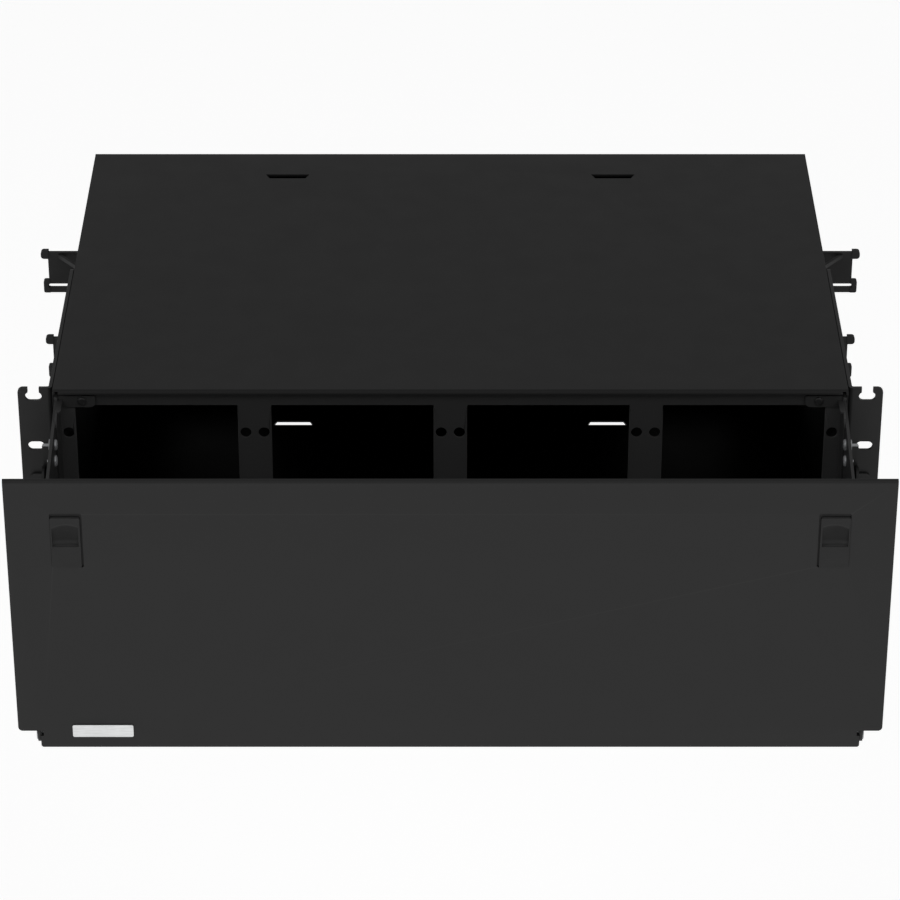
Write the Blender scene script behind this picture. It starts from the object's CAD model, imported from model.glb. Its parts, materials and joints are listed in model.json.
"""Looks of the rack-mount fiber termination box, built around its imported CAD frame.

Row frame, in metres: X to the right, Y into the rack, Z up, with the origin at the centre
of the rack-slot pattern on the front face of the ears.
"""
import json
import math

import bmesh
import bpy
from mathutils import Matrix, Vector


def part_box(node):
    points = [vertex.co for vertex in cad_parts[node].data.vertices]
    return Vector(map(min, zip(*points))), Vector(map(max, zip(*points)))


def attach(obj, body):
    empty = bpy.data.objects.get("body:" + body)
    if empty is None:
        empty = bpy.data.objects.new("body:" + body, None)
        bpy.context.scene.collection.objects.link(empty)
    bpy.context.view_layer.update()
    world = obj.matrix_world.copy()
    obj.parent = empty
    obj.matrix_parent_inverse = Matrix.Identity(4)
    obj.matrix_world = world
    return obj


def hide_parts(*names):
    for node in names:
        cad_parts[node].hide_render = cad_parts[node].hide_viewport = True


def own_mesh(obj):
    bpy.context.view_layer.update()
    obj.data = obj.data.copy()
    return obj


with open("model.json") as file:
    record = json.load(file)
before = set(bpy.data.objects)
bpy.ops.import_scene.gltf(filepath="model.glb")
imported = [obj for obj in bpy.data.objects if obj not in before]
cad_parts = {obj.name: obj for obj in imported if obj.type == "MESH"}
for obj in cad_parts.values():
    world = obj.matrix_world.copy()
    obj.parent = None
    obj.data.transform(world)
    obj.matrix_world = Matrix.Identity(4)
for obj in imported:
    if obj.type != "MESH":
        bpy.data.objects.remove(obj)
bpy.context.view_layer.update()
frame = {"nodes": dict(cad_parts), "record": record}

MM = 0.001
SIDES = (("left", -1), ("right", 1))
QUARTER = math.pi / 2

# Underside of the unit: heights are counted from it.
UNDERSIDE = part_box("chassis_tray")[0].z

scene = bpy.context.scene

# Just inside the tray's outer skin; the tray is open at the front.
SKIN = 0.6 * MM
FAR_AHEAD = -1.0
tray_low, tray_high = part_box("chassis_tray")
CHASSIS_INSIDE = {
    "X": (tray_low.x + SKIN, tray_high.x - SKIN),
    "Y": (FAR_AHEAD, tray_high.y - SKIN),
    "Z": (tray_low.z + SKIN, tray_high.z - SKIN),
}

# The front frame's outer posts, from where their lighter coat starts to where it is full.
POST_EDGE = (204 * MM, 210 * MM)

# The latch sliders: the depths over which the recess takes over from the face, and the
# heights of the finger dish.
slider_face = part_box("left_latch_slider")[0].y
RECESS_DEPTHS = (slider_face + 0.2 * MM, slider_face + 0.5 * MM)
DISH_HEIGHTS = (UNDERSIDE + 133.6 * MM, UNDERSIDE + 146 * MM)


# ---------------------------------------------------------------- camera, light and floor

CAMERA_SIDEWAYS = -0.00017
CAMERA_HEIGHT = 1.2159        # above the underside
CAMERA_AHEAD = 1.8695         # ahead of the ears
CAMERA_ELEVATION = math.radians(30)
CAMERA_REACH = 60
LENS = 153.6
SENSOR = 36

FLOOR_DROP = 1.1              # the unit is shown clear of the floor, as on a rack's rails
FLOOR_HALF = 20.0
PAPER_SHADE = 0.86
PAPER_ROUGHNESS = 0.9
PAPER_GLOW = 0.62
SKY_STRENGTH = 0.38

SOFTBOX_OUT = 1.5
SOFTBOX_AHEAD = 2.0
SOFTBOX_HEIGHT = 2.2
SOFTBOX_SIZE = 1.2
SOFTBOX_POWER = 8.8


def add_object(name, data):
    made = bpy.data.objects.new(name, data)
    scene.collection.objects.link(made)
    return made


def new_material(name):
    material = bpy.data.materials.new(name)
    material.use_nodes = True
    tree = material.node_tree
    return material, tree, tree.nodes["Principled BSDF"]


def grey(level):
    return (level, level, level, 1)


def build_camera():
    data = bpy.data.cameras.new("view_camera")
    data.lens = LENS
    data.sensor_width = SENSOR
    data.clip_end = CAMERA_REACH
    camera = add_object("view_camera", data)
    camera.location = (CAMERA_SIDEWAYS, -CAMERA_AHEAD, UNDERSIDE + CAMERA_HEIGHT)
    camera.rotation_euler = (QUARTER - CAMERA_ELEVATION, 0, 0)
    scene.camera = camera


def add_softbox(word, side):
    """Square softbox above and ahead of one side, turned towards the origin."""
    data = bpy.data.lights.new(word + "_softbox", "AREA")
    data.shape = "RECTANGLE"
    data.size = data.size_y = SOFTBOX_SIZE
    data.energy = SOFTBOX_POWER
    place = Vector((side * SOFTBOX_OUT, -SOFTBOX_AHEAD, SOFTBOX_HEIGHT))
    lamp = add_object(word + "_softbox", data)
    lamp.location = place
    lamp.rotation_euler = (-place).to_track_quat("-Z", "Y").to_euler()


def build_stage():
    """White surroundings, a pale floor and two softboxes."""
    world = bpy.data.worlds.new("soft_room")
    world.use_nodes = True
    sky = world.node_tree.nodes["Background"]
    sky.inputs["Color"].default_value = grey(1)
    sky.inputs["Strength"].default_value = SKY_STRENGTH
    scene.world = world

    half, height = FLOOR_HALF, UNDERSIDE - FLOOR_DROP
    corners = [(-half, -half, height), (half, -half, height),
               (half, half, height), (-half, half, height)]
    mesh = bpy.data.meshes.new("floor")
    mesh.from_pydata(corners, [], [(0, 1, 2, 3)])
    floor = add_object("floor", mesh)
    paper, _, shader = new_material("pale_paper")
    shader.inputs["Base Color"].default_value = grey(PAPER_SHADE)
    shader.inputs["Roughness"].default_value = PAPER_ROUGHNESS
    shader.inputs["Emission Color"].default_value = grey(1)
    shader.inputs["Emission Strength"].default_value = PAPER_GLOW
    mesh.materials.append(paper)

    for word, side in SIDES:
        add_softbox(word, side)


# ---------------------------------------------------------------- materials

# The part of a noise's range that is used: a soft drift, or a crisper grain.
DRIFT = (0.3, 0.7)
GRAIN = (0.35, 0.65)

COAT_DRIFT = 0.01             # how far the coat's shade varies, as a share of its level
COAT_GRAIN = 0.07
SHARP_EDGE = (0.53, 0.62)     # pointiness from where the coat thins to where it is thinnest
EDGE_WEAR = 0.35
WORN_SHADE = 2.2
PLASTIC_GRAIN = 0.1
METAL_DIM = 0.82

# Shades of the latch's recess, as multiples of the plastic's level, from the dish's foot up.
DISH_FOOT = 3.6
DISH_HOLLOW = 0.45
DISH_ROOF = 0.08
HOLLOW_AT = 0.28              # where the hollow is, as a share of the dish's height
LEDGE_SHADE = 4.2
LEDGE_FACING = (0.6, 0.8)     # how far a face looks up before it counts as a ledge

MIX_FACTOR, MIX_FIRST, MIX_SECOND, MIX_RESULT = 0, 6, 7, 2      # sockets of a colour mix


def feed(tree, socket, value):
    """Link a socket to another one, or give it a plain value."""
    if hasattr(value, "links"):
        tree.links.new(value, socket)
    else:
        socket.default_value = value


def noise(tree, scale, detail=2.0, roughness=0.5, stretch=(1, 1, 1)):
    """Noise in metres of the row frame: scale is features per metre."""
    place = tree.nodes.new("ShaderNodeTexCoord")
    mapping = tree.nodes.new("ShaderNodeMapping")
    mapping.inputs["Scale"].default_value = stretch
    texture = tree.nodes.new("ShaderNodeTexNoise")
    texture.inputs["Scale"].default_value = scale
    texture.inputs["Detail"].default_value = detail
    texture.inputs["Roughness"].default_value = roughness
    tree.links.new(place.outputs["Object"], mapping.inputs["Vector"])
    tree.links.new(mapping.outputs["Vector"], texture.inputs["Vector"])
    return texture.outputs["Fac"]


def remap(tree, value, low, high, to_low=0, to_high=1):
    node = tree.nodes.new("ShaderNodeMapRange")
    node.inputs["From Min"].default_value = low
    node.inputs["From Max"].default_value = high
    node.inputs["To Min"].default_value = to_low
    node.inputs["To Max"].default_value = to_high
    tree.links.new(value, node.inputs["Value"])
    return node.outputs["Result"]


def mix(tree, factor, first, second):
    """Colour mix; factor, first and second are sockets or plain values."""
    node = tree.nodes.new("ShaderNodeMix")
    node.data_type = "RGBA"
    for index, value in ((MIX_FACTOR, factor), (MIX_FIRST, first), (MIX_SECOND, second)):
        feed(tree, node.inputs[index], value)
    return node.outputs[MIX_RESULT]


def calculate(tree, operation, *values):
    node = tree.nodes.new("ShaderNodeMath")
    node.operation = operation
    for index, value in enumerate(values):
        feed(tree, node.inputs[index], value)
    return node.outputs[0]


def bump(tree, shader, heights):
    """Chain of bumps: (height socket, strength, distance in metres)."""
    normal = None
    for height, strength, distance in heights:
        node = tree.nodes.new("ShaderNodeBump")
        node.inputs["Strength"].default_value = strength
        node.inputs["Distance"].default_value = distance
        tree.links.new(height, node.inputs["Height"])
        if normal:
            tree.links.new(normal, node.inputs["Normal"])
        normal = node.outputs["Normal"]
    tree.links.new(normal, shader.inputs["Normal"])


def axes_of(tree, output):
    """The X, Y and Z of one of the texture coordinates."""
    source = tree.nodes.new("ShaderNodeTexCoord")
    axes = tree.nodes.new("ShaderNodeSeparateXYZ")
    tree.links.new(source.outputs[output], axes.inputs["Vector"])
    return axes.outputs


def within_chassis(tree):
    """1 on surfaces inside the sheet-metal shell, 0 on its outer skin."""
    place = axes_of(tree, "Object")
    result = None
    for letter, (low, high) in CHASSIS_INSIDE.items():
        for compare, limit in (("GREATER_THAN", low), ("LESS_THAN", high)):
            test = calculate(tree, compare, place[letter], limit)
            result = calculate(tree, "MULTIPLY", result, test) if result else test
    return result


def varied(tree, pattern, level, spread):
    """Grey that follows a pattern from spread below its level to spread above it."""
    return mix(tree, pattern, grey(level * (1 - spread)), grey(level * (1 + spread)))


def finish_surface(tree, shader, colour, rough, rough_scale):
    """Give the shader its colour, and a roughness that drifts within its range."""
    tree.links.new(colour, shader.inputs["Base Color"])
    drift = remap(tree, noise(tree, rough_scale, 2), *DRIFT, *rough)
    tree.links.new(drift, shader.inputs["Roughness"])


def powder_coat(name, level, specular, rough=(0.45, 0.49), inside=None, ends=None):
    """Fine-textured black powder coat over sheet steel, a little thinner on sharp edges.

    inside is the level of the thin coat on faces within the chassis, and ends is its level
    on the outermost centimetre of either side."""
    material, tree, shader = new_material(name)
    drift = remap(tree, noise(tree, 9, 3), *DRIFT)
    grain = remap(tree, noise(tree, 1400, 2), *GRAIN)
    body = mix(tree, 0.5, varied(tree, drift, level, COAT_DRIFT),
               varied(tree, grain, level, COAT_GRAIN))
    pointiness = tree.nodes.new("ShaderNodeNewGeometry").outputs["Pointiness"]
    worn = remap(tree, pointiness, *SHARP_EDGE, 0, EDGE_WEAR)
    colour = mix(tree, worn, body, grey(level * WORN_SHADE))
    if inside:
        colour = mix(tree, within_chassis(tree), colour, grey(inside))
    if ends:
        sideways = calculate(tree, "ABSOLUTE", axes_of(tree, "Object")["X"])
        colour = mix(tree, remap(tree, sideways, *POST_EDGE), colour, grey(ends))
    finish_surface(tree, shader, colour, rough, 60)
    shader.inputs["Specular IOR Level"].default_value = specular
    bump(tree, shader, [(noise(tree, 420, 2), 0.06, 0.04 * MM),
                        (noise(tree, 2600, 2), 0.06, 0.02 * MM)])
    return material


def thumb_recess(tree, colour, level):
    """Shading of the latch's recess: dark in the hollow of the dish, pale on its ledges."""
    place = axes_of(tree, "Object")
    dish = tree.nodes.new("ShaderNodeValToRGB")
    tree.links.new(remap(tree, place["Z"], *DISH_HEIGHTS), dish.inputs["Fac"])
    dish.color_ramp.elements[0].color = grey(level * DISH_FOOT)
    dish.color_ramp.elements[1].color = grey(level * DISH_ROOF)
    dish.color_ramp.elements.new(HOLLOW_AT).color = grey(level * DISH_HOLLOW)
    ledge = remap(tree, axes_of(tree, "Normal")["Z"], *LEDGE_FACING)
    inside = mix(tree, ledge, dish.outputs["Color"], grey(level * LEDGE_SHADE))
    return mix(tree, remap(tree, place["Y"], *RECESS_DEPTHS), colour, inside)


def moulded_plastic(name, level, specular, rough=(0.5, 0.62), recess=False):
    """Black moulded plastic with a fine spark-eroded grain."""
    material, tree, shader = new_material(name)
    grain = remap(tree, noise(tree, 2200, 3), *GRAIN)
    colour = varied(tree, grain, level, PLASTIC_GRAIN)
    if recess:
        colour = thumb_recess(tree, colour, level)
    finish_surface(tree, shader, colour, rough, 90)
    shader.inputs["Specular IOR Level"].default_value = specular
    bump(tree, shader, [(noise(tree, 3200, 3), 0.18, 0.03 * MM)])
    return material


def metal(name, colour, rough=(0.28, 0.4), stretch=(1, 1, 1), scale=900, metallic=1.0):
    """Bare or plated metal with fine machining marks; a dull plating is less metallic."""
    material, tree, shader = new_material(name)
    marks = remap(tree, noise(tree, scale, 3, 0.6, stretch), *GRAIN)
    dim = tuple(channel * METAL_DIM for channel in colour)
    finish_surface(tree, shader, mix(tree, marks, dim + (1,), colour + (1,)), rough, 300)
    shader.inputs["Metallic"].default_value = metallic
    bump(tree, shader, [(noise(tree, scale, 3, 0.6, stretch), 0.15, 0.02 * MM)])
    return material


MATERIALS = {
    "black_powder_coat": powder_coat("coat_black", 0.0185, 0.27),
    "cover_powder_coat": powder_coat("coat_cover", 0.0128, 0.19),
    "arm_powder_coat": powder_coat("coat_arm", 0.035, 0.30),
    "frame_powder_coat": powder_coat("coat_frame", 0.038, 0.28, ends=0.066),
    "tray_powder_coat": powder_coat("coat_tray", 0.024, 0.06, inside=0.003),
    "door_powder_coat": powder_coat("coat_door", 0.016, 0.24),
    "black_plastic": moulded_plastic("plastic_black", 0.016, 0.24),
    "latch_plastic": moulded_plastic("plastic_latch", 0.016, 0.24, recess=True),
    "rubber": moulded_plastic("rubber_black", 0.010, 0.15, (0.7, 0.8)),
    "zinc": metal("zinc_plate", (0.46, 0.47, 0.48), (0.4, 0.52), metallic=0.55),
    "black_zinc": powder_coat("zinc_black", 0.02, 0.35, (0.3, 0.4)),
    "spring_steel": metal("spring_wire", (0.45, 0.45, 0.46)),
    "badge_metal": metal("badge_satin", (0.78, 0.79, 0.79), (0.35, 0.45), (1, 30, 30), 120),
    "brass": metal("stud_brass", (0.75, 0.53, 0.24)),
}


# ---------------------------------------------------------------- CAD nodes

# Width of the softened edges, in millimetres, by material slot.
BEVELS = {
    "black_plastic": 0.45, "rubber": 0.5, "badge_metal": 0.2, "zinc": 0.15, "black_zinc": 0.15,
    "brass": 0.2, "spring_steel": 0.0, "black_powder_coat": 0.22, "door_powder_coat": 0.25,
    "frame_powder_coat": 0.22, "tray_powder_coat": 0.22, "cover_powder_coat": 0.22,
    "arm_powder_coat": 0.22,
}
BEVEL_ANGLE = math.radians(35)

# Pieces whose flat faces are each made one polygon, so that no triangle shows in their shade.
LARGE_SHEETS = ("front_door", "top_cover")
FLAT_ANGLE = math.radians(0.3)
WELD_DISTANCE = 0.002 * MM


def dress_node(node, slot):
    """Material and softened edges for a CAD node."""
    piece = frame["nodes"][node]
    look = "latch_plastic" if "latch_slider" in node else slot
    for holder in piece.material_slots:
        holder.material = MATERIALS[look]
    width = BEVELS[slot] * MM
    if not width:
        return
    weld = piece.modifiers.new("weld", "WELD")
    weld.merge_threshold = WELD_DISTANCE
    if node in LARGE_SHEETS:
        merge = piece.modifiers.new("merge_flat_faces", "DECIMATE")
        merge.decimate_type = "DISSOLVE"
        merge.angle_limit = FLAT_ANGLE
    edge = piece.modifiers.new("soft_edges", "BEVEL")
    edge.width = width
    edge.segments = 2
    edge.limit_method = "ANGLE"
    edge.angle_limit = BEVEL_ANGLE
    edge.use_clamp_overlap = True
    edge.harden_normals = True
    edge.miter_outer = "MITER_ARC"
    level = piece.modifiers.new("level_faces", "WEIGHTED_NORMAL")
    level.mode = "FACE_AREA"
    level.weight = 100
    level.keep_sharp = True


for part in frame["record"]["subparts"]:
    dress_node(part["node"], part["material_slot"])

# Each latch spring hangs from its upper end and shortens as its slider goes up.
for word, _ in SIDES:
    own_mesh(frame["nodes"][word + "_latch_spring"])


# ---------------------------------------------------------------- fasteners

# Places in millimetres: out is counted from the middle plane, depth from the front face of
# the ears, and height from the underside.
ARM_INNER, ARM_OUTER = 219.0, 220.7              # out, of the strike arm's two faces
ARM_SCREWS = ((-26.0, 154.8, 225.9, 20),         # depth, height, thread's end, turn in degrees
              (-30.4, 147.1, 223.3, 65))
BRACKET_OUT = 224
BRACKET_DEPTHS, BRACKET_HEIGHTS = (30, 125), (36, 141)
BRACKET_TURN = 25                                # least turn; it grows with depth and height
RING_OUT = 223.6
RING_DEPTHS = (157, 166)
RING_TOP, RING_PITCH, RING_COUNT = 152.6, 58.3, 3
PLATE_FRONT = -1.5                               # depth, of the arms' plates on ear and frame
FOOT_OUT, FOOT_HEIGHTS = 233.4, (60, 106)
TAB_OUT, TAB_HEIGHT = 205.5, 168.8
THUMBSCREW_OUT, THUMBSCREW_HEIGHT = 214, 88.5
SPOOL_SCREW = (105, 95, 20.5)                    # out, depth, height
STUD_DEPTH, STUD_HEIGHT = 272, 22

# Shape of a domed head and its cross recess, as shares of the radius or height.
FLANK_HEIGHT = 0.25
CROWN_RADIUS = 0.45
CROWN_STEPS = 5
RECESS_REACH, RECESS_WIDTH, RECESS_FLOOR = 0.5, 0.22, 0.35
CENTRE = 0.02                                    # radius at which a lathed end closes
SMOOTH_ANGLE = 35


def at(out, depth, height):
    """Place in metres from millimetres, with the height counted from the underside."""
    return Vector((out * MM, depth * MM, UNDERSIDE + height * MM))


def mesh_of(verts, faces):
    mesh = bpy.data.meshes.new("part")
    mesh.from_pydata(verts, [], faces)
    mesh.update()
    return mesh


def lathe(profile, segments=32, wobble=None):
    """Mesh turned about +Z from (radius, height) pairs in millimetres, closed at both ends."""
    verts, faces = [], []
    for index, (radius, height) in enumerate(profile):
        for step in range(segments):
            angle = 2 * math.pi * step / segments
            reach = radius * (wobble(index, step) if wobble else 1) * MM
            verts.append((reach * math.cos(angle), reach * math.sin(angle), height * MM))
    for index in range(len(profile) - 1):
        low, high = index * segments, (index + 1) * segments
        for step in range(segments):
            following = (step + 1) % segments
            faces.append((low + step, low + following, high + following, high + step))
    last = (len(profile) - 1) * segments
    faces.append(tuple(reversed(range(segments))))
    faces.append(tuple(range(last, last + segments)))
    return mesh_of(verts, faces)


def prism(outline, low, high):
    """Mesh of an outline in millimetres, raised along Z."""
    count = len(outline)
    verts = [(x * MM, y * MM, z * MM) for z in (low, high) for x, y in outline]
    faces = [(i, (i + 1) % count, count + (i + 1) % count, count + i) for i in range(count)]
    faces += [tuple(reversed(range(count))), tuple(range(count, 2 * count))]
    return mesh_of(verts, faces)


def blade(x, y, low, high):
    """Bar of half sizes x and y about the axis, for cutting a slot."""
    return prism([(-x, -y), (x, -y), (x, y), (-x, y)], low, high)


def hexagon(radius, height):
    corners = [math.radians(60 * corner) for corner in range(6)]
    return prism([(radius * math.cos(a), radius * math.sin(a)) for a in corners], 0, height)


def carved(mesh, *tools):
    """The mesh with every tool mesh taken out of it."""
    solid = add_object("solid", mesh)
    cutters = []
    for tool in tools:
        cutter = add_object("cutter", tool)
        cutters.append(cutter)
        carve = solid.modifiers.new("carve", "BOOLEAN")
        carve.operation = "DIFFERENCE"
        carve.solver = "EXACT"
        carve.object = cutter
    graph = bpy.context.evaluated_depsgraph_get()
    result = bpy.data.meshes.new_from_object(solid.evaluated_get(graph))
    for item in cutters + [solid]:
        bpy.data.objects.remove(item)
    return result


def rounded_head(radius, height):
    """Profile of a low domed head: straight flank, then an arc up to the crown."""
    profile = [(radius, 0), (radius, height * FLANK_HEIGHT)]
    for step in range(1, CROWN_STEPS + 1):
        turn = QUARTER * step / CROWN_STEPS
        narrowed = 1 - (1 - CROWN_RADIUS) * (1 - math.cos(turn))
        risen = FLANK_HEIGHT + (1 - FLANK_HEIGHT) * math.sin(turn)
        profile.append((radius * narrowed, height * risen))
    profile.append((CENTRE, height))
    return profile


def screw_head(radius, height):
    """Domed head with a cross recess."""
    reach, width = radius * RECESS_REACH, radius * RECESS_WIDTH / 2
    levels = (height * RECESS_FLOOR, height + 1)
    return carved(lathe(rounded_head(radius, height)),
                  blade(reach, width, *levels), blade(width, reach, *levels))


AXES = {
    "+x": Matrix.Rotation(QUARTER, 4, "Y"), "-x": Matrix.Rotation(-QUARTER, 4, "Y"),
    "+y": Matrix.Rotation(-QUARTER, 4, "X"), "-y": Matrix.Rotation(QUARTER, 4, "X"),
    "+z": Matrix.Identity(4),
}


def side_axis(side, outward=True):
    return "+x" if (side > 0) == outward else "-x"


def assemble(name, parts, slot, body, node, smooth=SMOOTH_ANGLE):
    """One object from (mesh, place, axis, turn in degrees) parts; it stands for a CAD node."""
    joined = bmesh.new()
    for mesh, place, axis, turn in parts:
        before = len(joined.verts)
        joined.from_mesh(mesh)
        joined.verts.ensure_lookup_table()
        spin = Matrix.Rotation(math.radians(turn), 4, "Z")
        matrix = Matrix.Translation(place) @ AXES[axis] @ spin
        bmesh.ops.transform(joined, matrix=matrix, verts=joined.verts[before:])
    bmesh.ops.recalc_face_normals(joined, faces=joined.faces)
    mesh = bpy.data.meshes.new(name)
    joined.to_mesh(mesh)
    joined.free()
    mesh.shade_smooth()
    mesh.set_sharp_from_angle(angle=math.radians(smooth))
    mesh.materials.append(MATERIALS[slot])
    piece = add_object(name, mesh)
    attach(piece, body)
    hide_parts(node)


def strike_arm_screws(word, side):
    """Zinc pan heads on the arm's inner face, hex nuts and thread ends on its outer face."""
    outward, inward = side_axis(side), side_axis(side, outward=False)
    head = screw_head(3.2, 1.4)
    nut = hexagon(3.3, 1.6)
    parts = []
    for depth, height, end, turn in ARM_SCREWS:
        length = end - ARM_OUTER
        thread = lathe([(0.8, 0), (0.8, length - 0.3), (0.55, length)], 20)
        behind = at(side * ARM_OUTER, depth, height)
        parts += [(head, at(side * ARM_INNER, depth, height), inward, turn),
                  (nut, behind, outward, turn / 2), (thread, behind, outward, 0)]
    assemble(word + "_arm_pan_screws", parts, "zinc", "chassis", word + "_strike_arm_screws")


def bracket_screw_heads(word, side):
    head = screw_head(4, 1.8)
    parts = [(head, at(side * BRACKET_OUT, depth, height), side_axis(side),
              BRACKET_TURN + depth + height)
             for depth in BRACKET_DEPTHS for height in BRACKET_HEIGHTS]
    assemble(word + "_bracket_screw_heads", parts, "black_zinc", "chassis",
             word + "_bracket_screws")


def rivet_heads(word, side):
    """Rivets of the cable rings, of the hinge arm's foot and of the strike arm's tab."""
    ring = lathe(rounded_head(2.6, 1.2))
    parts = [(ring, at(side * RING_OUT, depth, RING_TOP - RING_PITCH * step), side_axis(side), 0)
             for step in range(RING_COUNT) for depth in RING_DEPTHS]
    assemble(word + "_ring_rivet_heads", parts, "black_zinc", "chassis", word + "_ring_rivets")
    foot = lathe(rounded_head(2.7, 1.2))
    parts = [(foot, at(side * FOOT_OUT, PLATE_FRONT, height), "-y", 0)
             for height in FOOT_HEIGHTS]
    assemble(word + "_arm_rivet_heads", parts, "black_zinc", "chassis",
             word + "_hinge_arm_rivets")
    tab = lathe(rounded_head(2.6, 1.1))
    parts = [(tab, at(side * TAB_OUT, PLATE_FRONT, TAB_HEIGHT), "-y", 0)]
    assemble(word + "_tab_rivet_head", parts, "black_zinc", "chassis",
             word + "_strike_tab_rivet")


def knurl(index, step):
    """Every second column of a thumbscrew's rim is cut back a little."""
    return 0.955 if step % 2 and 2 <= index <= 5 else 1


def thumbscrew(word, side):
    """Captive thumbscrew with a straight-knurled rim and a driver slot."""
    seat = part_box("rear_cover")[1].y / MM - 1.0
    teeth = 44
    profile = [(4, 0), (4, 1.5), (5.6, 1.5), (6, 1.9), (6, 7.8), (5.6, 8.4), (5.1, 9),
               (CENTRE, 9)]
    knob = carved(lathe(profile, teeth * 2, knurl), blade(5.2, 0.6, 7.4, 10))
    shank = lathe([(2, 0), (2, 9), (1.5, 10.5)], 24)
    place = at(side * THUMBSCREW_OUT, seat, THUMBSCREW_HEIGHT)
    overlap = Vector((0, 0.5 * MM, 0))
    parts = [(knob, place, "+y", 12 * side), (shank, place + overlap, "-y", 0)]
    assemble(word + "_knurled_thumbscrew", parts, "black_zinc", "chassis",
             word + "_rear_thumbscrew", smooth=25)


def spool_screw(word, side):
    out, depth, height = SPOOL_SCREW
    parts = [(screw_head(4, 2.4), at(side * out, depth, height), "+z", 30)]
    assemble(word + "_spool_pan_screw", parts, "zinc", "chassis", word + "_spool_screw")


def ground_stud():
    """Threaded brass stud with two hexagon nuts."""
    root, crest, turns, nut_gap = 2.55, 3.0, 13, 6
    profile = [(2.6, 0)]
    for turn in range(turns):
        profile += [(root, turn + 0.1), (crest, turn + 0.5), (root, turn + 0.9)]
    profile += [(2.5, 13.4), (2.1, 14), (CENTRE, 14)]
    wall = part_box("chassis_tray")[0].x / MM
    nut = hexagon(5.8, 4)
    inner = at(wall, STUD_DEPTH, STUD_HEIGHT)
    outer = at(wall - nut_gap, STUD_DEPTH, STUD_HEIGHT)
    parts = [(lathe(profile, 28), inner, "-x", 0), (nut, inner, "-x", 10),
             (nut, outer, "-x", 34)]
    assemble("ground_stud_threaded", parts, "brass", "chassis", "ground_stud")


for word, side in SIDES:
    strike_arm_screws(word, side)
    bracket_screw_heads(word, side)
    rivet_heads(word, side)
    thumbscrew(word, side)
    spool_screw(word, side)
ground_stud()

build_camera()
build_stage()
scene.view_settings.view_transform = "Standard"
